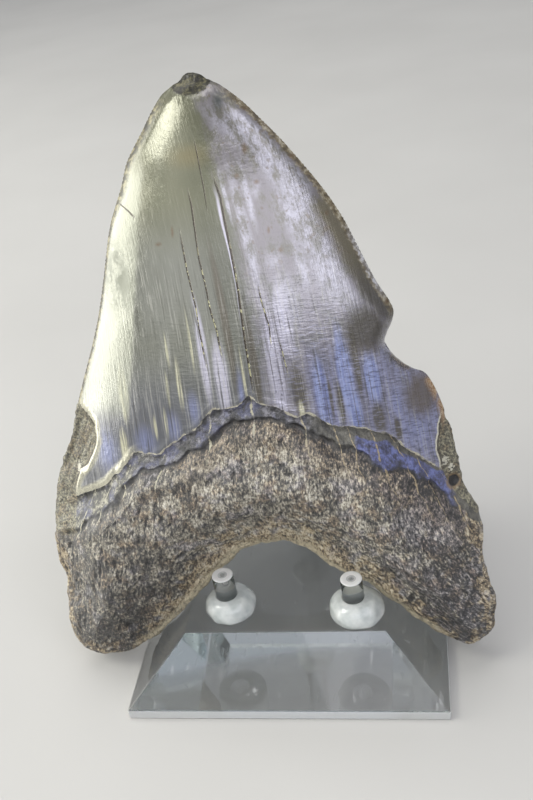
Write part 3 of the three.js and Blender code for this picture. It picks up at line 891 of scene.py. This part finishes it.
def enamel_colour(plane, silk, edge):
    """The enamel's colour with its painted shade, highlight, sheen and glint, its hairlines, and how dull
    and how matt it is; the painted shade also makes it duller and more matt.
    """
    u, v, _ = plane.parts()
    streak = silk.parts()[0]
    hair = silk.noise((2.8, 0.05, 0.6), 3, 0.6)
    bands = silk.noise((0.9, 0.03, 0.3), 3, 0.6)
    weave = silk.noise((0.5, 2.6, 1), 2, 0.6)
    cloud = silk.stretch(1, 0.4, 1).noise(0.09, 3).span(0.35, 0.65)
    mottle = silk.stretch(1.2, 0.62, 1).noise(0.34, 5, 0.74)
    fleck = plane.noise(1.3, 3, 0.7)
    rough = (mottle - 0.5) * 2.4
    right = (streak + mottle * 5).span(2, 6)

    # Broad tones, from the tip down and from left to right. The lavender and white over the right half are
    # painted sheen, broken up by the enamel's mottle.
    top = cloud.tone((100, 101, 78), (116, 116, 94))
    centre = cloud.tone((112, 113, 102), (128, 129, 121))
    base = Paint(v.span(92, 76).tone(top, centre))
    base.lay(v.span(62, 46, 0, 0.6), (108, 109, 122))
    base.lay(plane.patch(*TAN_VEIL) * 0.55, (136, 124, 84))
    # Painted sheen: lavender over the right half.
    lavender_sheen = v.span(80, 66).tone((132, 127, 130), (152, 148, 156))
    base.lay(right * mottle.span(0.34, 0.56, 0.35, 1), lavender_sheen)
    # Painted sheen: white near the dark strip, in patches and along streaks.
    inner = edge - v.span(SHADE_TOP_V, SHADE_FULL_V, WHITE_MARGIN["high"], WHITE_MARGIN["low"])
    near = inner.span(0, WHITE_MARGIN["full"]) * right * v.span(64, 70) * v.span(110, 104)
    near = near * inner.span(WHITE_MARGIN["stop"], WHITE_MARGIN["fade"])
    white_sheen = near.most(plane.patches(WHITE_PATCHES) * 0.6).most(silk.patches(WHITE_STREAKS, 0.2))
    white_sheen = white_sheen * mottle.span(0.36, 0.62, 0.12, 0.8) * fleck.span(0.3, 0.6, 0.4, 1)
    base.lay(white_sheen, (200, 199, 212))
    base.lay(right * mottle.span(0.5, 0.36) * v.span(72, 84) * 0.55, (104, 98, 88))

    # Bundles of streaks.
    base.lay(silk.patches(PALE_BUNDLES, 0.4) * hair.span(0.4, 0.52, 0.25, 1), (200, 197, 214))
    zone = streak.span(BLUE_ZONE["u"] - 0.7, BLUE_ZONE["u"] + 0.7) * 0.75
    zone = zone * v.span(BLUE_ZONE["top"], BLUE_ZONE["full"]) * hair.span(0.3, 0.5, 0.5, 1)
    base.lay(zone, bands.span(0.36, 0.6).tone((122, 122, 144), (150, 153, 190)))
    blue = bands.span(0.35, 0.6).tone((132, 144, 198), (170, 183, 232))
    for places, core, share, shade in (
        (BLUE_PATCHES, 0.45, (0.36, 0.54, 0.4, 0.9), blue),
        (BLUE_GREY_PATCHES, 0, (0.34, 0.52, 0.35, 0.75), (142, 149, 190)),
        (OLIVE_BARS, 0.4, (0.3, 0.5, 0.6, 0.95), (100, 94, 82)),
        (PALE_STROKES, 0.3, (0.44, 0.56, 0.3, 1), (218, 214, 182)),
    ):
        base.lay(silk.patches(places, core) * hair.span(*share), shade)
    low = v.span(88, 62)
    base.lay(hair.span(0.44, 0.32) * low.span(0, 1, 0.04, 0.5), (74, 72, 62))
    base.lay(hair.span(0.54, 0.66) * low.span(0, 1, 0.05, 0.35), (196, 194, 186))
    base.lay(weave.span(0.47, 0.37) * v.span(70, 56, 0.1, 0.55) * u.span(-4, 10), (84, 82, 96))
    base.lay(weave.span(0.53, 0.64) * v.span(72, 58, 0, 0.28) * u.span(-4, 10), (190, 192, 226))

    # Painted shade in the dark strip on the right and in the hollow under the bite, a painted highlight
    # along the left margin, and the worn sheen.
    inside = edge - v.span(SHADE_TOP_V, SHADE_FULL_V, 0, SHADE_WIDTH) + rough
    hollow = (plane.patches(BITE_SHADE, 0.2) + rough * 0.15).span(0, 1)
    shade = (inside.span(1, -1) * u.span(4, 10) * v.span(60, 64, 0, 0.8)).most(hollow * 0.85)
    olive = v.span(66, 80).tone((66, 61, 46), (112, 104, 78))
    base.lay(shade, v.span(54, 60).tone((98, 89, 78), olive))
    # Painted highlight: paler enamel left of a sloping line near the left edge.
    across = u - (v - PAINTED_HIGHLIGHT_LINE["v"]) * PAINTED_HIGHLIGHT_LINE["slope"] + rough
    painted_highlight = across.span(PAINTED_HIGHLIGHT_LINE["u"] + 0.8, PAINTED_HIGHLIGHT_LINE["u"] - 0.8)
    base.lay(painted_highlight * v.span(101, 93) * v.span(44, 50) * 0.6, (180, 182, 164))
    matt = plane.patch(*WORN_SHEEN) * mottle.span(0.42, 0.56, 0.3, 1)
    base.lay(matt * 0.5, (96, 101, 84))

    # The speckled rim, whose rust specks are lightened in part by painted glint, a bright painted glint on
    # one stretch of it, spots, dots and the chipped tip.
    ragged = edge + (fleck - 0.5) * 1.8
    rim = ragged.span(RIM_WIDTH, RIM_WIDTH * 0.5) * u.span(-6, -1) * v.span(62, 66)
    rust_and_glint = plane.noise(0.9, 3)
    base.lay(rim * 0.85, rust_and_glint.ramp((0.36, 92, 80, 58), (0.5, 138, 124, 94), (0.66, 204, 196, 174)))
    # Painted glint: a bright line along the outer rim over one stretch of v.
    rim_glint = ragged.span(1, 0.4) * v.span(GLINT_RIM_V[0] - 2, GLINT_RIM_V[0] + 1)
    rim_glint = rim_glint * v.span(GLINT_RIM_V[1] + 4, GLINT_RIM_V[1] - 2) * u.span(0, 4)
    base.lay(rim_glint * rust_and_glint.span(0.4, 0.56, 0.3, 1), (212, 211, 214))
    base.lay(plane.patches(BROWN_SPOTS) * fleck.span(0.36, 0.55, 0.5, 0.85), (108, 86, 62))
    freckles = plane.noise(0.7, 2).span(0.62, 0.7) * right * v.span(70, 80, 0, 0.5)
    base.lay(freckles, (108, 94, 74))
    dots = silk.stretch(1, 0.7, 1).cells(0.9).span(0.12, 0.04) * right
    base.lay(dots * v.span(82, 50, 0.1, 0.7), (58, 54, 56))
    dots = silk.stretch(1.5, 0.8, 1).cells(1).span(0.3, 0.14)
    base.lay(dots * silk.patch(*DOT_PATCH) * 0.85, (54, 54, 68))
    base.lay(plane.patch(*TIP_STREAK) * 0.9, (78, 82, 80))
    worn = (plane.patch(*TIP_ZONE) + fleck * 0.4).span(0.42, 0.56)
    stone = plane.noise(1, 4, 0.7)
    base.lay(worn, stone.ramp((0.38, 20, 17, 11), (0.5, 54, 52, 35), (0.64, 104, 99, 72)))
    base.lay(plane.patches(TIP_MARKS).span(0.2, 0.6, 0, 0.85), (24, 20, 14))
    matt = matt.most(worn)
    return base.shade, hair, shade.most(matt * 2.4), matt.most(hollow * 0.6)


def root_colour(plane, grain, mark, edge, band):
    u, v, _ = plane.parts()
    away = abs(u)
    grit = grain.stretch(2.2, 0.92, 0.6).noise(1.15, 4, 0.78)
    speck = plane.stretch(1, 0.8, 0.5).noise(1.9, 2, 0.6)
    level = (grit - 0.5) * u.span(-30, 34, 1.5, 2.15) + mark * 0.12 + (speck + 0.46) * 0.6
    level = level + plane.noise(0.2, 4, 0.65).span(0.36, 0.64, -0.08, 0.1)
    # Painted shade: the term in v darkens the root toward the lobes at its foot.
    level = level + band.span(-5, 0, 0, -0.1) + v.span(-6, 22, -0.09, 0.02)
    level = level + abs(u - 4).span(14, 46, 0.01, -0.045)
    dark = [(0.3, 26, 24, 24), (0.44, 66, 63, 60)]
    light = [(0.56, 114, 109, 98), (0.7, 172, 164, 146), (0.88, 226, 221, 208)]
    base = Paint(level.ramp(*dark, *light))
    warm = plane.noise(0.28, 3, 0.7).span(0.48, 0.62, 0, 0.5)
    warm = warm.most(band.span(-8, -1) * u.span(-24, -12) * 0.45)
    base.lay(warm, (146, 116, 84), "OVERLAY")
    cool = plane.noise(0.21, 3, 0.7) + u.span(12, 36, 0, 0.12)
    base.lay(cool.span(0.5, 0.62, 0, 0.5), (96, 104, 150), "OVERLAY")

    # The crust near the edge, in thin layers along the arch.
    layers = plane.make.add("ShaderNodeCombineXYZ", {0: edge * 1.2, 1: u * 0.25, 2: v * 0.25})
    layered = level + layers.noise(1, 4, 0.7).span(0.35, 0.65, -0.06, 0.16)
    inside = edge - away.span(16, 38, 5.5, 2) + plane.noise(0.4, 3).span(0.3, 0.7, -3, 3)
    crust = [(0.34, 52, 42, 32), (0.48, 122, 104, 78), (0.62, 186, 166, 130), (0.8, 224, 212, 184)]
    base.lay(inside.span(1.6, -2, 0, 0.85), layered.ramp(*crust))
    # The bright rim along the arch is partly the crust's pale tan and partly painted highlight.
    rim = edge.span(2.2, 0.8) * away.span(38, 30) * v.span(18, 14) * grit.span(0.35, 0.54, 0.3, 0.85)
    base.lay(rim, (214, 202, 172))
    return base.shade


def band_colour(plane, mark, enamel):
    u = plane.parts()[0]
    stain = plane.noise(0.55, 5, 0.75)
    base = Paint(stain.ramp((0.38, 20, 19, 20), (0.5, 64, 63, 68), (0.63, 140, 138, 146)))
    base.lay(u.span(-22, -31), stain.ramp((0.41, 20, 19, 17), (0.5, 64, 63, 56), (0.62, 180, 176, 156)))
    base.lay(u.span(8, 13), stain.ramp((0.36, 58, 56, 50), (0.64, 112, 109, 98)))
    base.lay(plane.noise(0.3, 3).span(0.47, 0.62, 0, 0.42) * u.span(14, 4), (92, 97, 142))
    start, stop = BLUE_BAND_U
    below = enamel + u.span(start, 36, 1.9, 0.5) + stain * 0.8
    ends = u.span(start - 0.6, start + 0.6) * (u + (stain - 0.5) * 8).span(stop, stop - 2)
    violet = below.span(0.55, 0.15) * ends * stain.span(0.36, 0.56, 0.45, 0.9)
    base.lay(violet, stain.span(0.4, 0.6).tone((60, 67, 124), (112, 122, 184)))
    veins = abs(plane.noise(0.42, 4, 0.6) - 0.5).span(0.022, 0.004)
    for share in (veins * u.span(16, 6) * 0.7, mark.span(-0.2, -1, 0, 0.7)):
        base.lay(share, (26, 24, 26))
    return base.shade


def wear_colour(plane):
    grit = plane.noise(1.9, 4, 0.7)
    base = Paint(grit.ramp((0.38, 44, 41, 33), (0.5, 108, 104, 84), (0.62, 168, 162, 136)))
    base.lay(plane.noise(0.4, 3).span(0.48, 0.6, 0, 0.4), (150, 120, 80), "OVERLAY")
    base.lay((plane.patches(ENAMEL_REMNANTS) + grit * 3).span(2, 2.3, 0, 0.9), (216, 212, 194))
    return base.shade


def crack_lines(make, v, wobble):
    """Dark hairlines of the crown, each from its own distance field and only along its own stretch."""
    lines = []
    for number, (width, *path) in enumerate(CRACKS):
        top, foot = path[0][1], path[-1][1]
        fade = min(5, (top - foot) / 4)
        away = abs(make.attribute(f"crack_{number}") + wobble)
        ends = v.span(foot - 1, foot + fade) * v.span(top, top - fade)
        lines.append(away.span(width, width * 0.35) * ends)
    return reduce(Value.most, lines)


def crack_border(make, v):
    """The bright line along the left of the longest crack."""
    away = abs(make.attribute(f"crack_{BORDERED_CRACK}") + v.span(76, 90, 0.38, 0.7))
    return away.span(v.span(74, 90, 0.16, 0.5), 0.04) * v.span(60, 84, 0.1, 0.9) * v.span(93.5, 87)


def thread_lines(make, plane, band, enamel, wear, fray):
    """Cream threads across the band, broken here and there, and wider on the right."""
    lane = make.attribute("thread").math("PINGPONG", 0.5) + fray * 0.12
    thin = plane.noise(0.6, 2).span(0.35, 0.65, 0.01, 0.034) * plane.parts()[0].span(5, 20, 1, 1.5)
    reach = band.span(-5.5, -0.5) * enamel.span(0.5, -0.2) * wear.span(0, 1)
    return (lane - thin).span(0, -0.012) * reach * plane.noise(0.35, 2).span(0.34, 0.48)


def fossil_material():
    make = Nodes("fossil_tooth")
    plane, silk, grain = (make.attribute(name, "Vector") for name in ("plane", "silk", "grain"))
    names = ("mark", "band", "enamel", "wear", "edge", "front")
    mark, band, enamel, wear, edge, front = (make.attribute(name) for name in names)
    u, v, _ = plane.parts()
    fine = plane.noise(2.6, 3, 0.65)
    fray = (fine - 0.5) * 0.5
    ragged = edge + fray * 3
    on_enamel = (enamel + fray).span(-0.08, 0.08)

    # Root, band, worn stretches, threads and enamel.
    base = Paint(root_colour(plane, grain, mark, edge, band))
    base.lay((band + fray).span(-0.1, 0.1) * front, band_colour(plane, mark, enamel))
    # Painted shadow: a dark line in the groove under the band's foot.
    foot_shadow = abs(band + fray * 1.6).span(0.55, 0.15)
    base.lay(foot_shadow * front * edge.span(2, 5) * 0.8, (22, 19, 18))
    on_wear = (wear + fray).span(0.1, -0.1) * front * (band + fray * 6).span(-1.5, 0.5)
    base.lay(on_wear, wear_colour(plane))
    thread = thread_lines(make, plane, band, enamel, wear, fray) * front
    base.lay(thread, u.span(0, 20).tone((186, 180, 156), (176, 158, 124)))
    enamel_base, hair, dull, matt = enamel_colour(plane, silk, edge)
    base.lay(on_enamel, enamel_base)

    # Cracks, and the enamel's pale lip.
    base.lay(crack_border(make, v) * front, (214, 210, 228))
    crack = crack_lines(make, v, fray * 0.5) * front * on_enamel
    beads = plane.noise(1.1, 1).span(0.54, 0.6, 0, 0.8) * v.span(84, 74)
    base.lay(crack, beads.tone((60, 46, 28), (206, 202, 158)))
    lip = abs(enamel - 0.02) + plane.noise(0.6, 3).span(0.35, 0.65, 0.1, -0.12) + fray * 0.4
    base.lay(lip.span(0.18, 0.04) * plane.noise(0.3, 3).span(0.4, 0.52, 0.15, 0.9), (206, 200, 178))

    # Borders of the worn stretches, stains of the bite, the saw edge and the round hole.
    low = v.span(29.5, 31.5) * v.span(48, 46.5) * front
    rim = abs(wear - 0.2).span(0.34, 0.12)
    base.lay(rim * low * fine.span(0.3, 0.5, 0.4, 0.9), (232, 228, 206))
    base.lay(abs(wear + 0.35).span(0.36, 0.1) * low * 0.7, (58, 50, 38))
    cream = (enamel + fray).span(1.9, 1) * on_enamel * u.span(-27, -31)
    base.lay(cream * fine.span(0.35, 0.55, 0.4, 0.9), (208, 204, 180))
    bitten = plane.patches(BITE_STAINS).span(0, 0.5) * ragged.span(1.8, 0.2)
    base.lay(bitten, fine.span(0.4, 0.6).tone((146, 112, 78), (200, 174, 142)))
    line = plane.patch(*BITE_LINE).span(0, 0.4) * ragged.span(1, 0.2) * 0.85
    base.lay(line, fine.span(0.45, 0.6).tone((52, 46, 36), (140, 118, 84)))
    saw = ragged.span(v.span(84, 94, 1.3, 2.7), 0.4) * on_enamel * u.span(0, -4) * v.span(112, 109)
    crumbs = plane.noise(0.8, 3)
    base.lay(saw * 0.9, crumbs.ramp((0.38, 36, 32, 20), (0.5, 82, 76, 52), (0.64, 164, 156, 122)))
    hole = plane.patch(HOLE["u"], HOLE["v"], HOLE["radius"] * 1.7, HOLE["radius"] * 1.7)
    base.lay(hole.span(0.05, 0.3) * front * fine.span(0.35, 0.55, 0.2, 0.9), (140, 118, 88))
    base.lay(hole.span(0.4, 0.6) * front, (22, 20, 22))

    # Fine relief and gloss.
    matt = matt.most(saw * 0.7)
    dull = dull.most(saw * 2.4)
    ripple = plane.noise((0.3, 1.8, 1), 3, 0.6) * v.span(84, 60, 0.12, 0.45) * u.span(-24, -10, 0.4, 1)
    shine = hair * 0.35 + ripple + plane.noise(0.7, 3, 0.6) * 0.3
    height = (grain.noise((2.4, 1, 1), 3, 0.7) + fine) * on_enamel.span(1, 0, 0.02, 1)
    height = height + shine * on_enamel * 0.5 - crack * 0.6
    gloss = (hair + fine * 0.5).span(0.5, 1.1, 0.14, 0.26) + dull * 0.12
    return make.surface(
        Base_Color=base.shade,
        Metallic=on_enamel * matt.span(0, 1, 0.3, 0.05),
        Roughness=on_enamel.amount(0.55, gloss),
        IOR=1.6,
        Specular_IOR_Level=matt.span(0, 1, 0.9, 0.35),
        Coat_Weight=0.2,
        Coat_Roughness=0.12,
        Normal=height.relief(0.3 * MM),
    )


def acrylic_material(name, frosting):
    """Clear acrylic with fine marks. Where it was sawn, only the share `frosting` is see-through."""
    make = Nodes(name)
    place = make.add("ShaderNodeTexCoord", {}, "Object")
    smear = place.noise((60, 60, 60), 4, 0.6)
    scratch = place.noise((800, 130, 170), 3).span(0.64, 0.72, 0, 0.35)
    smudge = place.noise((260, 260, 260), 4, 0.7).span(0.64, 0.74, 0, 0.5)
    sawn = make.attribute("sawn")
    return make.surface(
        volume=make.add("ShaderNodeVolumeAbsorption", {"Color": (0.72, 0.9, 0.95, 1), "Density": 5.0}),
        Base_Color=(0.985, 0.99, 0.99, 1),
        Roughness=sawn.amount(smear.span(0.4, 0.75, 0.015, 0.07), 0.4),
        IOR=1.49,
        Transmission_Weight=sawn.most(scratch.most(smudge)).span(0, 1, 1, frosting),
        Normal=(smear * 0.15 + scratch * -0.25).relief(0.04 * MM),
    )


def glue_material():
    make = Nodes("milky_glue")
    cloud = make.add("ShaderNodeTexCoord", {}, "Object").noise((420, 420, 420), 3)
    return make.surface(
        Base_Color=cloud.ramp((0.35, 204, 211, 210), (0.65, 236, 240, 238)),
        Roughness=cloud.span(0.3, 0.7, 0.1, 0.22),
        IOR=1.48,
        Transmission_Weight=0.16,
        Subsurface_Weight=0.4,
        Subsurface_Radius=(1, 1, 1),
        Subsurface_Scale=1.5 * MM,
        Coat_Weight=0.5,
        Coat_Roughness=0.08,
        Normal=cloud.relief(0.25 * MM),
    )


# Stand.
def to_mesh(form, name):
    mesh = bpy.data.meshes.new(name)
    form.to_mesh(mesh)
    form.free()
    return mesh


def make_block(material):
    corners = [(-1, -1), (1, -1), (1, 1), (-1, 1)]
    form = bmesh.new()
    loops = []
    for width, z in ((BLOCK_WIDTH, 0), (BLOCK_WIDTH, BLOCK_EDGE_HEIGHT), (BLOCK_TOP_WIDTH, BLOCK_HEIGHT)):
        half = width / 2 * MM
        loops.append([form.verts.new((x * half, y * half, z * MM)) for x, y in corners])
    form.faces.new(loops[0][::-1])
    form.faces.new(loops[-1])
    for low, high in zip(loops, loops[1:]):
        for i in range(4):
            j = (i + 1) % 4
            form.faces.new((low[i], low[j], high[j], high[i]))
    rounding = {"offset": BLOCK_EDGE_ROUNDING * MM, "segments": BLOCK_EDGE_STEPS, "profile": 0.5}
    bmesh.ops.bevel(form, geom=list(form.edges), affect="EDGES", **rounding)
    mesh = to_mesh(form, "block_clear")
    middle = BLOCK_EDGE_HEIGHT / 2
    upright = [abs(point.co.z / MM - middle) < middle for point in mesh.vertices]
    set_values(mesh, "sawn", np.array(upright, float))
    add_piece("block_clear", mesh, "stand_block", material)


def turned(name, profile, wobble=None):
    """A closed form turned round the Z axis. The profile runs from the axis or as a closed loop."""
    form = bmesh.new()
    rings = []
    for radius, z in profile:
        ring = []
        for k in range(PEG_SIDES if radius else 1):
            angle = 2 * math.pi * k / PEG_SIDES
            r = radius + (wobble(angle, radius, z) if wobble else 0)
            ring.append(form.verts.new((r * math.cos(angle) * MM, r * math.sin(angle) * MM, z * MM)))
        rings.append(ring)
    if profile[0][0]:
        rings.append(rings[0])
    for low, high in zip(rings, rings[1:]):
        for k in range(PEG_SIDES):
            n = (k + 1) % PEG_SIDES
            loop = [low[k % len(low)], low[n % len(low)], high[n % len(high)], high[k % len(high)]]
            form.faces.new(list(dict.fromkeys(loop)))
    bmesh.ops.recalc_face_normals(form, faces=form.faces)
    mesh = to_mesh(form, name)
    mesh.polygons.foreach_set("use_smooth", np.ones(len(mesh.polygons), bool))
    return mesh


def measured(node):
    """Radius and height of a round node in millimetres, and the middle of its foot."""
    low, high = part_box(node)
    foot = ((low.x + high.x) / 2, (low.y + high.y) / 2, low.z)
    return (high.x - low.x) / 2 / MM, (high.z - low.z) / MM, foot


def make_peg(node, material):
    _, height, foot = measured(node)
    rim = PEG_RADIUS - PEG_RIM
    profile = [(0, PEG_LIFT), (rim, PEG_LIFT), (PEG_RADIUS, PEG_LIFT + 0.15), (PEG_RADIUS, height * 0.5)]
    profile += [(PEG_RADIUS, height - 0.22), (PEG_RADIUS - 0.06, height - 0.08), (rim, height)]
    profile += [(rim * 0.8, height - 0.04), (rim * 0.4, height - 0.1), (0, height - 0.12)]
    mesh = turned(node + "_clear", profile)
    x, y, z = np.array([point.co for point in mesh.vertices]).T / MM
    set_values(mesh, "sawn", np.where(z < height - 0.2, 0, smooth(np.hypot(x, y) / rim + 0.15)))
    add_piece(node + "_clear", mesh, node, material, foot)


def make_collar(node, seed, material):
    radius, height, foot = measured(node)
    bore = PEG_RADIUS + GLUE_GAP
    lip = bore + GLUE_LIP
    profile = [(bore, PEG_LIFT), (radius - 0.5, PEG_LIFT), (radius - 0.12, 0.15)]
    for rise in np.linspace(0.1, 0.97, 16):
        profile.append((lip + (radius - lip) * (1 - rise ** DOME_POWER) ** DOME_ROUNDING, rise * height))
    profile += [(lip - 0.12, height * 0.985), (lip - 0.3, height), (bore, height * 0.99)]

    def wobble(angle, r, z):
        place = [[math.cos(angle) * 2, math.sin(angle) * 2, seed + z / 2.5]]
        ripple = GLUE_RIPPLE * noise(np.array(place), 1)[0]
        return (ripple + DOME_SHIFT * math.cos(angle)) * (r - bore) / (radius - bore)

    add_piece(node + "_milky", turned(node + "_milky", profile, wobble), node, material, foot)


# Studio.
def make_floor():
    bpy.ops.mesh.primitive_plane_add(size=FLOOR_SIZE)
    floor = bpy.context.object
    floor.name = "floor"
    floor.location.z = -FLOOR_GAP
    make = Nodes("pale_floor")
    tone = make.add("ShaderNodeTexCoord", {}, "Object").noise(9, 3)
    shade = tone.ramp((0.3, 190, 189, 186), (0.7, 196, 195, 192))
    floor.data.materials.append(make.surface(Base_Color=shade, Roughness=0.7))


def make_light(name, azimuth, elevation, distance, size, radiance, tint):
    a, e = math.radians(azimuth), math.radians(elevation)
    away = Vector((math.sin(a) * math.cos(e), -math.cos(a) * math.cos(e), math.sin(e)))
    data = bpy.data.lights.new(name, "AREA")
    data.shape = "RECTANGLE"
    data.size, data.size_y = size
    data.energy = radiance * math.pi * data.size * data.size_y
    data.color = tint
    lamp = bpy.data.objects.new(name, data)
    lamp.location = Vector(LIGHT_TARGET) + away * distance
    lamp.rotation_euler = away.to_track_quat("Z", "Y").to_euler()
    lamp.visible_camera = False
    lamp.visible_transmission = False
    bpy.context.scene.collection.objects.link(lamp)


def make_studio():
    world = bpy.data.worlds.new("studio")
    world.use_nodes = True
    background = world.node_tree.nodes["Background"]
    background.inputs["Color"].default_value = WORLD_TINT
    background.inputs["Strength"].default_value = WORLD_STRENGTH
    scene = bpy.context.scene
    scene.world = world
    scene.view_settings.view_transform = "Standard"
    for limit in ("max_bounces", "glossy_bounces", "transmission_bounces"):
        setattr(scene.cycles, limit, CLEAR_BOUNCES)
    for name, light in LIGHTS.items():
        make_light(name, *light)


def make_camera():
    flat = math.cos(CAMERA_TILT)
    forward = Vector((-math.sin(CAMERA_YAW) * flat, math.cos(CAMERA_YAW) * flat, -math.sin(CAMERA_TILT)))
    level = Vector((math.cos(CAMERA_YAW), math.sin(CAMERA_YAW), 0))
    upward = level.cross(forward)
    right = math.cos(CAMERA_ROLL) * level + math.sin(CAMERA_ROLL) * upward
    up = math.cos(CAMERA_ROLL) * upward - math.sin(CAMERA_ROLL) * level
    data = bpy.data.cameras.new("photo_view")
    data.lens = CAMERA_LENS
    data.sensor_width = CAMERA_SENSOR
    data.clip_start = 0.01
    camera = bpy.data.objects.new("photo_view", data)
    camera.matrix_world = Matrix((right, up, -forward)).transposed().to_4x4()
    camera.location = Vector(CAMERA_PLACE) * MM
    bpy.context.scene.collection.objects.link(camera)
    bpy.context.scene.camera = camera


make_camera()
make_studio()
make_floor()
make_tooth()
clear = acrylic_material("clear_acrylic", 0.5)
clear_rod = acrylic_material("clear_rod", 0.2)
milky = glue_material()
make_block(clear)
for peg in ("front_peg_left", "front_peg_right", "rear_peg"):
    make_peg(peg, clear_rod)
for seed, collar in enumerate(("glue_collar_left", "glue_collar_right", "glue_collar_rear")):
    make_collar(collar, seed * 7.7, milky)
